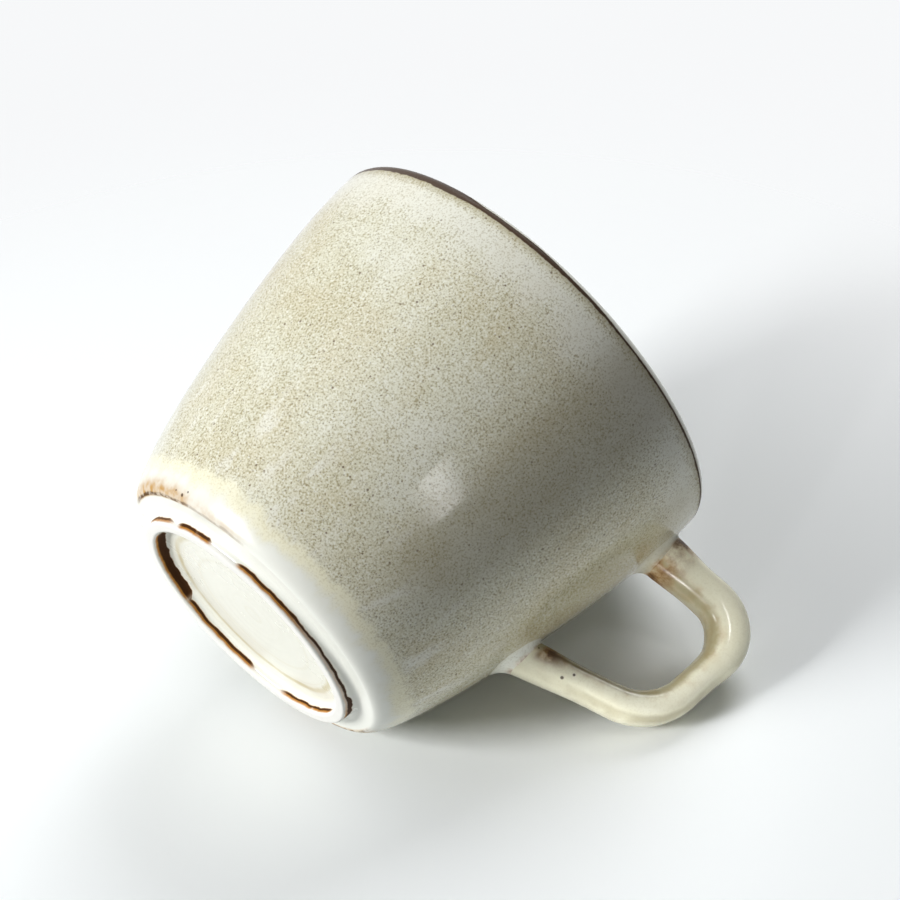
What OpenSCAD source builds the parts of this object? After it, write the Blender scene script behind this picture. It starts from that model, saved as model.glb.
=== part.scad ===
// Cappuccino cup: a turned stoneware bowl on a foot ring, and a strap handle that is
// luted to its wall with slip at two places. The cup stands on z = 0, z is the axis
// of the bowl, and the handle points along +X.

/* [Bowl] */
// Outer diameter at the rim
rim_d = 90; // [82:0.5:100]
// Height of the rim above the table
cup_h = 75.5; // [68:0.5:90]
// How far the wall runs outwards from the heel edge while it turns up
heel_run = 6; // [4:0.5:9]
// Length of the nearly upright stretch of wall below the rim
rim_run = 15; // [8:0.5:24]
// Lean of the wall towards the axis at the rim, in degrees
rim_lean = 4; // [0:0.5:6]
// Thickness of the wall low down, beside the floor
wall_t = 5; // [3.6:0.1:6.4]
// Thickness of the lip
lip_t = 3.2; // [2.4:0.1:4]
// Thickness of the floor above the foot recess
floor_t = 5; // [3.6:0.1:7]
// Height of the curve that joins the floor and the wall inside
floor_rise = 9; // [5:0.5:16]

/* [Foot] */
// Outer diameter of the foot ring
foot_d = 49.6; // [44:0.2:54]
// Width of the foot ring
foot_w = 2.4; // [1.8:0.1:4]
// Height of the heel edge above the table
foot_h = 2.8; // [2:0.1:4.5]
// Width of the ledge between the foot ring and the heel edge
ledge_w = 4.3; // [2.5:0.1:6]
// Radius of the cove between the foot ring and the ledge
foot_cove = 1.8; // [0.6:0.1:2.4]
// Depth of the recess inside the foot ring
recess_h = 2.6; // [1.4:0.1:4]
// Radius of the cove between the foot ring and the floor of the recess
recess_cove = 1.6; // [0.6:0.1:2.2]
// Radius of the soft edges of the standing face
edge_round = 0.5; // [0.2:0.1:0.8]

/* [Handle] */
// Width of the strap, across the finger
strap_w = 9; // [6:0.2:12]
// Thickness of the strap at its upper root
upper_root_t = 8.9; // [6:0.1:11]
// Thickness of the strap half way from its upper root to its upper bend
upper_neck_t = 7.7; // [5:0.1:9]
// Thickness of the strap in its upper bend
shoulder_t = 8.4; // [5:0.1:10]
// Thickness of the strap in the middle of the grip
grip_t = 6.2; // [4:0.1:8]
// Thickness of the strap in its lower bend
elbow_t = 6.5; // [4:0.1:9]
// Thickness of the strap half way from its lower bend to its lower root
lower_neck_t = 6; // [4:0.1:8]
// Thickness of the strap at its lower root
lower_root_t = 7.2; // [5:0.1:10]
// Distance from the rim's outer edge out to the upper bend's corner
handle_reach = 22.3; // [17:0.1:30]
// How much nearer to the cup the lower bend's corner is
grip_tuck = 1.9; // [0:0.1:5]
// Distance from the rim down to the middle of the upper root
upper_root_drop = 10.6; // [9:0.2:20]
// How far the upper strap rises from its root to the upper bend
shoulder_rise = 0.9; // [-3:0.1:4]
// Length of the grip between its two bends, corner to corner
grip_h = 25.2; // [20:0.2:30]
// How far the lower strap falls from the lower bend to its root
elbow_fall = 8.8; // [4:0.2:14]
// Radius of the upper bend, at the middle of the strap
upper_bend = 8.6; // [5:0.2:10]
// Radius of the lower bend, at the middle of the strap
lower_bend = 11.8; // [6:0.2:14]
// Squareness of the strap's section: 2 is an ellipse
section_power = 2.4; // [2:0.1:3]

/* [Slip joints] */
// Thickness of the slip between the handle's end and the wall
slip_t = 0.6; // [0.3:0.1:1.5]
// Radius of the slip fillet around the handle's end
slip_fillet = 2.4; // [1:0.1:3.5]

/* [Hidden] */

TURN_FN = 360;
WALL_STEPS = 36;
ARC_STEPS = 8;
SIDES = 28;
STRAP_STEPS = 6;
FILLET_STEPS = 6;
// The slip collar starts this far inside the wall, and is then cut to the wall
COLLAR_SINK = 1.5;
// The fillet ends where it is this share of its radius away from the wall
FILLET_END = 0.7;

rim_r = rim_d / 2;
foot_r = foot_d / 2;
foot_in_r = foot_r - foot_w;
heel_r = foot_r + ledge_w;
floor_z = recess_h + floor_t;
// A soft edge or a cove never takes more than the wall that it belongs to
edge_r = min(edge_round, foot_w / 3);
cove_r = min(foot_cove, ledge_w, foot_h - edge_r);
recess_r = min(recess_cove, recess_h - edge_r);

function mix(a, b, t) = a + (b - a) * t;
function unit(v) = v / norm(v);
function smooth(t) = (1 - cos(180 * t)) / 2;
function signed_power(v, e) = sign(v) * pow(abs(v), e);
function arc(c, r, a0, a1, n) =
    [for (i = [0:n]) c + r * [cos(mix(a0, a1, i / n)), sin(mix(a0, a1, i / n))]];
function quadratic(a, b, c, n) =
    [for (i = [0:n]) mix(mix(a, b, i / n), mix(b, c, i / n), i / n)];

// The outside of the wall is one cubic curve from the heel edge to the lip.
// It leaves the heel edge level and arrives at the lip leaning by rim_lean.
rim_dir = [-sin(rim_lean), cos(rim_lean)];
rim_out = [cos(rim_lean), sin(rim_lean)];
wall_start = [heel_r, foot_h];
wall_end = [rim_r, cup_h - lip_t / 2 * (1 - sin(rim_lean))];
wall_turn = wall_start + [heel_run, 0];
wall_lift = wall_end - rim_run * rim_dir;
lip_centre = wall_end - lip_t / 2 * rim_out;

function wall_point(s) =
    pow(1 - s, 3) * wall_start + 3 * pow(1 - s, 2) * s * wall_turn
    + 3 * (1 - s) * s * s * wall_lift + pow(s, 3) * wall_end;
function wall_dir(s) =
    unit(pow(1 - s, 2) * (wall_turn - wall_start)
    + 2 * (1 - s) * s * (wall_lift - wall_turn) + s * s * (wall_end - wall_lift));
function wall_out(s) = [wall_dir(s)[1], -wall_dir(s)[0]];
function inner_point(s) = wall_point(s) - mix(wall_t, lip_t, s) * wall_out(s);
function wall_at(z, lo = 0, hi = 1, n = 24) =
    n == 0 ? (lo + hi) / 2
    : wall_point((lo + hi) / 2)[1] < z ? wall_at(z, (lo + hi) / 2, hi, n - 1)
    : wall_at(z, lo, (lo + hi) / 2, n - 1);
function inner_at(z, lo = 0, hi = 1, n = 24) =
    n == 0 ? (lo + hi) / 2
    : inner_point((lo + hi) / 2)[1] < z ? inner_at(z, (lo + hi) / 2, hi, n - 1)
    : inner_at(z, lo, (lo + hi) / 2, n - 1);

// Points of the outside of the wall. The steps are finer at the heel, where it turns.
outer_wall = [for (i = [0:WALL_STEPS]) wall_point(pow(i / WALL_STEPS, 1.3))];

// The inside follows the outside down to floor_rise above the floor, then curves in
// to the floor about the corner where the wall's line would meet it.
inner_start = inner_at(floor_z + floor_rise);
inner_foot = inner_point(inner_start);
inner_lean = wall_dir(inner_start);
floor_corner = inner_foot - inner_lean * floor_rise / inner_lean[1];
floor_edge = floor_corner - [norm(inner_foot - floor_corner), 0];
inner_wall = [for (i = [0:WALL_STEPS]) inner_point(mix(1, inner_start, i / WALL_STEPS))];

bowl_outline = concat(
    [[0, recess_h]],
    arc([foot_in_r - recess_r, recess_h - recess_r], recess_r, 90, 0, ARC_STEPS),
    arc([foot_in_r + edge_r, edge_r], edge_r, 180, 270, ARC_STEPS),
    arc([foot_r - edge_r, edge_r], edge_r, 270, 360, ARC_STEPS),
    arc([foot_r + cove_r, foot_h - cove_r], cove_r, 180, 90, ARC_STEPS),
    outer_wall,
    arc(lip_centre, lip_t / 2, rim_lean, rim_lean + 180, 2 * ARC_STEPS),
    inner_wall,
    quadratic(inner_foot, floor_corner, floor_edge, 2 * ARC_STEPS),
    [[0, floor_z]]);

// The strap runs in the xz plane from its upper root through two bends to its lower root
upper_root_s = wall_at(cup_h - upper_root_drop);
upper_root = wall_point(upper_root_s);
upper_corner = [rim_r + handle_reach, upper_root[1] + shoulder_rise];
lower_corner = upper_corner - [grip_tuck, grip_h];
lower_root_s = wall_at(lower_corner[1] - elbow_fall);
lower_root = wall_point(lower_root_s);
upper_dir = unit(upper_corner - upper_root);
lower_dir = unit(lower_corner - lower_root);
grip_dir = unit(lower_corner - upper_corner);

// A bend of radius r at corner c, from the direction u to the direction v
function bend_cut(u, v, r) = r * tan(acos(u * v) / 2);
function bend_centre(c, u, v, r) =
    c + unit(v - u) * r / cos(acos(u * v) / 2);
function bend(c, u, v, r) =
    let (o = bend_centre(c, u, v, r),
         p = c - u * bend_cut(u, v, r) - o,
         turn = acos(u * v))
    [for (i = [0:ARC_STEPS])
        let (a = -turn * i / ARC_STEPS)
        o + [p[0] * cos(a) - p[1] * sin(a), p[0] * sin(a) + p[1] * cos(a)]];
upper_arc = bend(upper_corner, upper_dir, grip_dir, upper_bend);
lower_arc = bend(lower_corner, grip_dir, -lower_dir, lower_bend);
strap_line = concat(
    [for (i = [0:STRAP_STEPS - 1]) mix(upper_root, upper_arc[0], i / STRAP_STEPS)],
    upper_arc,
    [for (i = [1:3]) mix(upper_arc[ARC_STEPS], lower_arc[0], i / 4)],
    lower_arc,
    [for (i = [1:STRAP_STEPS]) mix(lower_arc[ARC_STEPS], lower_root, i / STRAP_STEPS)]);
strap_end = len(strap_line) - 1;
strap_steps = [for (i = [1:strap_end]) norm(strap_line[i] - strap_line[i - 1])];
function total(v, n) = n == 0 ? 0 : v[n - 1] + total(v, n - 1);
function strap_share(i) = total(strap_steps, i) / total(strap_steps, strap_end);
function strap_dir(i) =
    unit(strap_line[min(i + 1, strap_end)] - strap_line[max(i - 1, 0)]);

// The thickness goes smoothly through seven places: the roots, the bends, half way
// between them, and the middle of the grip
shoulder_i = STRAP_STEPS + ARC_STEPS / 2;
shoulder_share = strap_share(shoulder_i);
elbow_share = strap_share(strap_end - shoulder_i);
strap_shares = [0, shoulder_share / 2, shoulder_share, strap_share(strap_end / 2),
    elbow_share, (elbow_share + 1) / 2, 1];
strap_ts = [upper_root_t, upper_neck_t, shoulder_t, grip_t, elbow_t, lower_neck_t, lower_root_t];
function strap_stretch(share, q = 1) =
    share <= strap_shares[q] || q == len(strap_shares) - 1 ? q : strap_stretch(share, q + 1);
function strap_t(share) =
    let (q = strap_stretch(share),
         t = (share - strap_shares[q - 1]) / (strap_shares[q] - strap_shares[q - 1]))
    mix(strap_ts[q - 1], strap_ts[q], smooth(t));

// The strap's section: i counts round it, and grow widens it on all sides.
// The first number lies in the xz plane and the second along y.
function section(t, i, grow = 0) =
    let (a = 360 * i / SIDES, e = 2 / section_power)
    [(t / 2 + grow) * signed_power(cos(a), e), (strap_w / 2 + grow) * signed_power(sin(a), e)];
function lift(p, y) = [p[0], y, p[1]];
function across(d) = [-d[1], d[0]];
function square_ring(i) =
    [for (k = [0:SIDES - 1])
        let (q = section(strap_t(strap_share(i)), k))
        lift(strap_line[i] + across(strap_dir(i)) * q[0], q[1])];

// A ring of the strap that lies at one distance from the wall around a root.
// s is the place on the wall and d the strap's direction, away from the wall.
function wall_shift(s, d, q, distance) =
    let (out = wall_out(s), fall = q[1] * q[1] * out[0] / (2 * wall_point(s)[0]))
    (distance - q[0] * (across(d) * out) - fall) / (d * out);
function wall_ring(s, d, t, distance, grow = 0) =
    [for (k = [0:SIDES - 1])
        let (q = section(t, k, grow))
        lift(wall_point(s) + across(d) * q[0] + d * wall_shift(s, d, q, distance), q[1])];
function wall_middle(s, d, distance) =
    lift(wall_point(s) + d * wall_shift(s, d, [0, 0], distance), 0);
// Turns a ring over, so that it counts round the other way about the xz plane
function flipped(v) = [for (i = [0:SIDES - 1]) v[(SIDES / 2 - i + SIDES) % SIDES]];

// Closes a stack of rings into one solid, with a point in the middle of each end
module skin(rings, first_middle, last_middle) {
    n = len(rings);
    points = concat([for (r = rings) each r], [first_middle, last_middle]);
    sides = [for (j = [0:n - 2], k = [0:SIDES - 1])
        let (a = j * SIDES + k, b = j * SIDES + (k + 1) % SIDES)
        each [[a, b + SIDES, a + SIDES], [a, b, b + SIDES]]];
    first_end = [for (k = [0:SIDES - 1]) [n * SIDES, (k + 1) % SIDES, k]];
    last_end = [for (k = [0:SIDES - 1])
        [n * SIDES + 1, (n - 1) * SIDES + k, (n - 1) * SIDES + (k + 1) % SIDES]];
    polyhedron(points, concat(sides, first_end, last_end));
}

module strap() {
    skin(concat(
            [wall_ring(upper_root_s, upper_dir, upper_root_t, slip_t)],
            [for (i = [1:strap_end - 1]) square_ring(i)],
            [flipped(wall_ring(lower_root_s, lower_dir, lower_root_t, slip_t))]),
        wall_middle(upper_root_s, upper_dir, slip_t),
        wall_middle(lower_root_s, lower_dir, slip_t));
}

// The bowl without its hollow, from the heel edge up
module wall_solid() {
    rotate_extrude($fn = TURN_FN)
        polygon(concat([[0, foot_h]], outer_wall, [[0, wall_end[1]]]));
}

// The width that the fillet adds at a distance from the wall
function fillet_grow(distance) =
    slip_fillet - sqrt(pow(slip_fillet, 2) - pow(slip_fillet - max(distance, 0), 2));

module slip_joint(s, d, t) {
    heights = concat([-COLLAR_SINK],
        [for (i = [0:FILLET_STEPS]) FILLET_END * slip_fillet * pow(i / FILLET_STEPS, 1.5)]);
    difference() {
        skin([for (h = heights) wall_ring(s, d, t, h, fillet_grow(h))],
            wall_middle(s, d, heights[0]),
            wall_middle(s, d, heights[len(heights) - 1]));
        wall_solid();
        strap();
    }
}

module cup_body() {
    color("#cdc7b0") rotate_extrude($fn = TURN_FN) polygon(bowl_outline);
}

module handle() {
    color("#cbc3a4") strap();
}

module upper_slip_joint() {
    color("#b9b29a") slip_joint(upper_root_s, upper_dir, upper_root_t);
}

module lower_slip_joint() {
    color("#b9b29a") slip_joint(lower_root_s, lower_dir, lower_root_t);
}

cup_body();
handle();
upper_slip_joint();
lower_slip_joint();
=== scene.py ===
"""Cappuccino cup in speckled reactive glaze, dressed around its packed frame.

The cup keeps the frame's upright pose. The photographed cup lies on its side, so the stage
brings a table that leans against the bowl and the handle, and a camera that sees it level.
"""

import math

import bmesh
import bpy
from mathutils import Matrix, Vector


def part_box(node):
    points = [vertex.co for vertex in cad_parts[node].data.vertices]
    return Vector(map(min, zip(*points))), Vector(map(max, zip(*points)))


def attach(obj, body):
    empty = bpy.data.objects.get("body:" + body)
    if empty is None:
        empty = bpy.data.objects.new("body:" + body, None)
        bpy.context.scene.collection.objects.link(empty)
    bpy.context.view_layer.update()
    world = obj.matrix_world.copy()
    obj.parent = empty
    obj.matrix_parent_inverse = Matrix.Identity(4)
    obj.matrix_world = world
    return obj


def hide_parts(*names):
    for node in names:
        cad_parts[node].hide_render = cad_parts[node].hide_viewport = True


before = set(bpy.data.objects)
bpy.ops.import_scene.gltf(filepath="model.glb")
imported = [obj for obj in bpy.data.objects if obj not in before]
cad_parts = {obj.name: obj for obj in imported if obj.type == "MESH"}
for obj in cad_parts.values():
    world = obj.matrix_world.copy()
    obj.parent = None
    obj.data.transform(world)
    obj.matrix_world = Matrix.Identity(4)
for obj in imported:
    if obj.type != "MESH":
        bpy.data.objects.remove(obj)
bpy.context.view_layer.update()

bl_info = {
    "name": "Stoneware Cappuccino Cup",
    "version": (1, 0, 0),
    "blender": (4, 5, 0),
    "location": "View3D > Sidebar > Cup",
    "description": "Builds a glazed stoneware cup with a luted strap handle, and its stage",
    "category": "Object",
}

MM = 0.001
# Points nearer to each other than this become one
WELD = 0.001 * MM


# Sizes and colours that a user would change


def number(name, description, default, **kind):
    """A number property."""
    return bpy.props.FloatProperty(name=name, description=description, default=default, **kind)


def length(name, description, millimetres):
    """A length property that is written in millimetres and kept in metres."""
    return number(name, description, millimetres * MM, precision=5, unit="LENGTH")


def triple(name, description, default, subtype, **limits):
    """A property of three numbers, such as a place or a direction."""
    return bpy.props.FloatVectorProperty(
        name=name, description=description, default=default, subtype=subtype, **limits
    )


def colour(name, description, rgb):
    """A colour property in linear light."""
    return triple(name, description, rgb, "COLOR", min=0, max=1)


class CupBowlSizes(bpy.types.PropertyGroup):
    """The turned bowl and its foot ring."""

    rim_d: length("Rim Diameter", "Outer diameter at the rim", 90)
    height: length("Height", "Height of the rim above the foot's standing face", 75.5)
    heel_run: length("Heel Run", "How far the wall runs out while it turns up", 6)
    rim_run: length("Rim Run", "Length of the nearly upright wall below the rim", 15)
    rim_lean: number(
        "Rim Lean", "Lean of the wall towards the axis at the rim", math.radians(4), subtype="ANGLE"
    )
    wall: length("Wall", "Thickness of the wall beside the floor", 5)
    lip: length("Lip", "Thickness of the lip", 3.2)
    floor: length("Floor", "Thickness of the floor above the foot recess", 5)
    floor_rise: length("Floor Rise", "Height of the curve from the floor to the wall", 9)
    foot_d: length("Foot Diameter", "Outer diameter of the foot ring", 49.6)
    foot_w: length("Foot Width", "Width of the foot ring", 2.4)
    foot_h: length("Foot Height", "Height of the heel edge above the standing face", 2.8)
    ledge: length("Ledge", "Width of the ledge between the foot ring and the heel", 4.3)
    foot_cove: length("Foot Cove", "Radius of the cove outside the foot ring", 1.8)
    recess_h: length("Recess", "Depth of the recess inside the foot ring", 2.6)
    recess_cove: length("Recess Cove", "Radius of the cove inside the foot ring", 1.6)
    edge_round: length("Edge Round", "Radius of the standing face's soft edges", 0.5)
    wobble: length("Wobble", "How far the thrown wall strays from a true round", 0.12)
    bead: length("Glaze Bead", "Height of the glaze's rolled edge at the foot", 0.14)
    glaze_edge: length("Glaze Edge", "Height of the glaze's edge on the foot ring", 0.85)
    edge_waver: length("Edge Waver", "How far the glaze's edge wavers up and down", 0.4)


class CupHandleSizes(bpy.types.PropertyGroup):
    """The strap handle and the slip that holds it."""

    width: length("Strap Width", "Width of the strap, across the finger", 9)
    upper_root: length("Upper Root", "Thickness of the strap at its upper root", 8.9)
    upper_neck: length("Upper Neck", "Thickness half way from the upper root to the bend", 7.7)
    shoulder: length("Shoulder", "Thickness of the strap in its upper bend", 8.4)
    grip: length("Grip", "Thickness of the strap in the middle of the grip", 6.2)
    elbow: length("Elbow", "Thickness of the strap in its lower bend", 6.5)
    lower_neck: length("Lower Neck", "Thickness half way from the bend to the lower root", 6)
    lower_root: length("Lower Root", "Thickness of the strap at its lower root", 7.2)
    reach: length("Reach", "Distance from the rim's edge to the upper bend's corner", 22.3)
    tuck: length("Tuck", "How much nearer to the cup the lower corner is", 1.9)
    drop: length("Drop", "Distance from the rim down to the upper root's middle", 10.6)
    rise: length("Rise", "How far the strap rises from its root to the upper bend", 0.9)
    grip_h: length("Grip Height", "Length of the grip from corner to corner", 25.2)
    fall: length("Fall", "How far the strap falls from the lower bend to its root", 8.8)
    upper_bend: length("Upper Bend", "Radius of the upper bend", 8.6)
    lower_bend: length("Lower Bend", "Radius of the lower bend", 11.8)
    power: number("Squareness", "Power of the strap's section, where 2 is an ellipse", 2.4)
    slip: length("Slip", "Thickness of the slip between the handle and the wall", 0.6)
    fillet: length("Fillet", "Width of the slip's fillet around the handle", 2.0)


class CupGlazeColours(bpy.types.PropertyGroup):
    """Colours of the fired glaze, from thick to thin, and of the bare clay."""

    milk: colour("Milk", "Thick glaze that pooled at the heel and the rim", (0.86, 0.87, 0.80))
    cream: colour("Cream", "Glaze at the edge of a pool and on the strap", (0.92, 0.88, 0.63))
    stone: colour("Stone", "Glaze of usual thickness", (0.68, 0.67, 0.52))
    straw: colour("Straw", "Thin glaze over the clay", (0.60, 0.54, 0.35))
    # Olive also paints shade on two stretches of the wall and on the upper slip
    olive: colour("Olive", "Thinnest glaze, and its fine grain", (0.30, 0.25, 0.12))
    speck: colour("Speck", "Iron specks in the glaze", (0.11, 0.065, 0.025))
    umber: colour("Umber", "Glaze that broke brown over an edge", (0.040, 0.014, 0.005))
    rust: colour("Rust", "Iron that bled out beside a break", (0.50, 0.20, 0.010))
    amber: colour("Amber", "Thin iron stain at the heel's edge and on the strap", (0.46, 0.23, 0.02))
    clay: colour("Clay", "Bare fired clay of the standing face", (0.85, 0.84, 0.80))


class CupStageSettings(bpy.types.PropertyGroup):
    """The table and the camera."""

    table_up: triple(
        "Table Up",
        "Direction away from the table, for a cup that lies on wall and handle",
        (-0.5709, -0.7877, 0.2317),
        "DIRECTION",
    )
    table_drop: length("Table Drop", "Distance from the foot's middle to the table", 31.11)
    camera_place: triple(
        "Camera Place", "Where the camera stands", (0.05473, -0.62552, -0.15898), "TRANSLATION"
    )
    camera_aim: triple(
        "Camera Aim",
        "A point in the middle of the picture",
        (0.00564, -0.02066, 0.04428),
        "TRANSLATION",
    )
    camera_up: triple(
        "Camera Up",
        "Direction that points up in the picture",
        (-0.6893, -0.2805, 0.668),
        "DIRECTION",
    )
    lens: number("Lens", "Focal length for a picture 36 mm wide", 143.19, unit="CAMERA")


# Shapes of the bowl, in radius and height, and of the strap, in the xz plane


def blend(a, b, t):
    """The value or point that lies the share t of the way from a to b."""
    return a + (b - a) * t


def smooth(t):
    """0 to 1 with a level start and a level end."""
    return (1 - math.cos(math.pi * t)) / 2


def shares(steps):
    """Even shares from 0 up to 1, without 1 itself."""
    return [i / steps for i in range(steps)]


def arc(centre, radius, start, end, steps):
    """Points on an arc, its angles in degrees, without the last point."""
    angles = [math.radians(blend(start, end, t)) for t in shares(steps)]
    return [centre + radius * Vector((math.cos(a), math.sin(a))) for a in angles]


def straight(a, b, steps):
    """Points on a line, without the last point."""
    return [blend(a, b, t) for t in shares(steps)]


class BowlShape:
    """The bowl's outline, and the place and direction of its outer wall."""

    HALVINGS = 40
    WALL_STEPS = 90
    # Above 1, the wall's points crowd towards the heel
    WALL_CROWD = 1.3
    LIP_STEPS = 18
    INSIDE_STEPS = 44
    FLOOR_STEPS = 14

    def __init__(self, sizes):
        self.sizes = sizes
        lean = sizes.rim_lean
        self.foot_r = sizes.foot_d / 2
        self.foot_in_r = self.foot_r - sizes.foot_w
        self.heel_r = self.foot_r + sizes.ledge
        self.floor_z = sizes.recess_h + sizes.floor
        rim_out = Vector((math.cos(lean), math.sin(lean)))
        end_z = sizes.height - sizes.lip / 2 * (1 - math.sin(lean))
        self.start = Vector((self.heel_r, sizes.foot_h))
        self.end = Vector((sizes.rim_d / 2, end_z))
        self.turn = self.start + Vector((sizes.heel_run, 0))
        self.lift = self.end - sizes.rim_run * Vector((-math.sin(lean), math.cos(lean)))
        self.lip_centre = self.end - sizes.lip / 2 * rim_out

    def wall(self, s):
        """A point of the outer wall, from the heel edge at 0 to the lip at 1."""
        t = 1 - s
        low = t**3 * self.start + 3 * t * t * s * self.turn
        return low + 3 * t * s * s * self.lift + s**3 * self.end

    def climb(self, s):
        """The wall's direction upwards."""
        t = 1 - s
        low = t * t * (self.turn - self.start) + 2 * t * s * (self.lift - self.turn)
        return (low + s * s * (self.end - self.lift)).normalized()

    def out(self, s):
        """The wall's direction outwards."""
        up = self.climb(s)
        return Vector((up.y, -up.x))

    def inside(self, s):
        """The point of the inner wall that faces the outer wall's point."""
        return self.wall(s) - blend(self.sizes.wall, self.sizes.lip, s) * self.out(s)

    def at_height(self, z, place):
        """The share s at which wall or inside passes a height."""
        low, high = 0.0, 1.0
        for _ in range(self.HALVINGS):
            middle = (low + high) / 2
            low, high = (middle, high) if place(middle).y < z else (low, middle)
        return (low + high) / 2

    def outline(self):
        """From the middle of the recess round the foot, up the outside and down the inside."""
        size = self.sizes
        soft = size.edge_round
        cove = size.foot_cove
        recess = size.recess_cove
        inner_s = self.at_height(self.floor_z + size.floor_rise, self.inside)
        inner_foot = self.inside(inner_s)
        lean = self.climb(inner_s)
        corner = inner_foot - lean * size.floor_rise / lean.y
        floor_edge = corner - Vector(((inner_foot - corner).length, 0))
        recess_edge = Vector((self.foot_in_r - recess, size.recess_h))
        inner_low = Vector((self.foot_in_r, size.recess_h - recess))
        outer_low = Vector((self.foot_r, size.foot_h - cove))
        cove_centre = outer_low + Vector((cove, 0))
        points = straight(Vector((0, size.recess_h)), recess_edge, 24)
        points += arc(inner_low - Vector((recess, 0)), recess, 90, 0, 22)
        points += straight(inner_low, Vector((self.foot_in_r, soft)), 8)
        points += arc(Vector((self.foot_in_r + soft, soft)), soft, 180, 270, 6)
        points += straight(Vector((self.foot_in_r + soft, 0)), Vector((self.foot_r - soft, 0)), 5)
        points += arc(Vector((self.foot_r - soft, soft)), soft, 270, 360, 6)
        points += straight(Vector((self.foot_r, soft)), outer_low, 8)
        points += arc(cove_centre, cove, 180, 90, 24)
        points += straight(cove_centre + Vector((0, cove)), self.start, 5)
        points += [self.wall(t**self.WALL_CROWD) for t in shares(self.WALL_STEPS)]
        lean_deg = math.degrees(size.rim_lean)
        points += arc(self.lip_centre, size.lip / 2, lean_deg, lean_deg + 180, self.LIP_STEPS)
        points += [self.inside(blend(1, inner_s, t)) for t in shares(self.INSIDE_STEPS)]
        for t in shares(self.FLOOR_STEPS):
            points.append(blend(blend(inner_foot, corner, t), blend(corner, floor_edge, t), t))
        points += straight(floor_edge, Vector((0, self.floor_z)), 12)
        return points + [Vector((0, self.floor_z))]


class StrapShape:
    """The strap's line in the xz plane, from its upper root through two bends to its lower root."""

    ROOT_STEPS = 34
    BEND_STEPS = 28
    GRIP_STEPS = 16
    FIT_ROUNDS = 8

    def __init__(self, bowl, sizes):
        self.bowl = bowl
        self.sizes = sizes
        self.upper_s = bowl.at_height(bowl.sizes.height - sizes.drop, bowl.wall)
        self.upper = bowl.wall(self.upper_s)
        reach = bowl.sizes.rim_d / 2 + sizes.reach
        self.upper_corner = Vector((reach, self.upper.y + sizes.rise))
        self.lower_corner = self.upper_corner - Vector((sizes.tuck, sizes.grip_h))
        self.lower_s = bowl.at_height(self.lower_corner.y - sizes.fall, bowl.wall)
        self.lower = bowl.wall(self.lower_s)
        self.upper_dir = (self.upper_corner - self.upper).normalized()
        self.lower_dir = (self.lower_corner - self.lower).normalized()

    def bend(self, corner, before, after, radius):
        """Points of a bend at a corner, from the direction before to the direction after."""
        steps = self.BEND_STEPS
        turn = before.angle(after)
        centre = corner + (after - before).normalized() * radius / math.cos(turn / 2)
        first = corner - before * radius * math.tan(turn / 2) - centre
        turns = [Matrix.Rotation(-turn * i / steps, 2) for i in range(steps + 1)]
        return [centre + turned @ first for turned in turns]

    def line(self):
        """The points of the strap's middle line."""
        size = self.sizes
        down = (self.lower_corner - self.upper_corner).normalized()
        first = self.bend(self.upper_corner, self.upper_dir, down, size.upper_bend)
        second = self.bend(self.lower_corner, down, -self.lower_dir, size.lower_bend)
        points = straight(self.upper, first[0], self.ROOT_STEPS) + first
        points += straight(first[-1], second[0], self.GRIP_STEPS)[1:] + second
        return points + straight(second[-1], self.lower, self.ROOT_STEPS)[1:] + [self.lower]

    def thickness(self, runs):
        """The strap's thickness at each run along its line, smooth through seven places."""
        size = self.sizes
        bend = self.ROOT_STEPS + self.BEND_STEPS // 2
        shoulder, elbow, end = runs[bend], runs[-1 - bend], runs[-1]
        places = (
            (0.0, size.upper_root),
            (shoulder / 2, size.upper_neck),
            (shoulder, size.shoulder),
            (runs[len(runs) // 2], size.grip),
            (elbow, size.elbow),
            ((elbow + end) / 2, size.lower_neck),
            (end, size.lower_root),
        )
        values = []
        for run in runs:
            at = max(i for i in range(len(places) - 1) if places[i][0] <= run)
            (low, before), (high, after) = places[at], places[at + 1]
            values.append(blend(before, after, smooth((run - low) / (high - low))))
        return values

    def ends(self):
        """Name, place on the wall, direction and thickness of both ends."""
        return (
            ("Upper", self.upper_s, self.upper_dir, self.sizes.upper_root),
            ("Lower", self.lower_s, self.lower_dir, self.sizes.lower_root),
        )

    def section(self, thickness, angle, grow):
        """A point of the strap's section, across the strap and along y."""
        across, along = math.cos(angle), math.sin(angle)
        power = 2 / self.sizes.power
        half = Vector((thickness / 2 + grow, self.sizes.width / 2 + grow))
        return Vector(
            (
                half.x * math.copysign(abs(across) ** power, across),
                half.y * math.copysign(abs(along) ** power, along),
            )
        )

    def over_wall(self, s, way, point, distance):
        """The place at a distance from the wall, along way from a section's point."""
        root = self.bowl.wall(s)
        out = self.bowl.out(s)
        across = Vector((-way.y, way.x))
        flat = root + across * point.x
        move = 0.0
        for _ in range(self.FIT_ROUNDS):
            here = flat + way * move
            near = self.bowl.wall(self.bowl.at_height(here.y, self.bowl.wall)).x
            gap = (math.hypot(here.x, point.y) - near) * out.x
            move += (distance - gap) / way.dot(out)
        here = flat + way * move
        return Vector((here.x, point.y, here.y))


# Node trees


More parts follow.
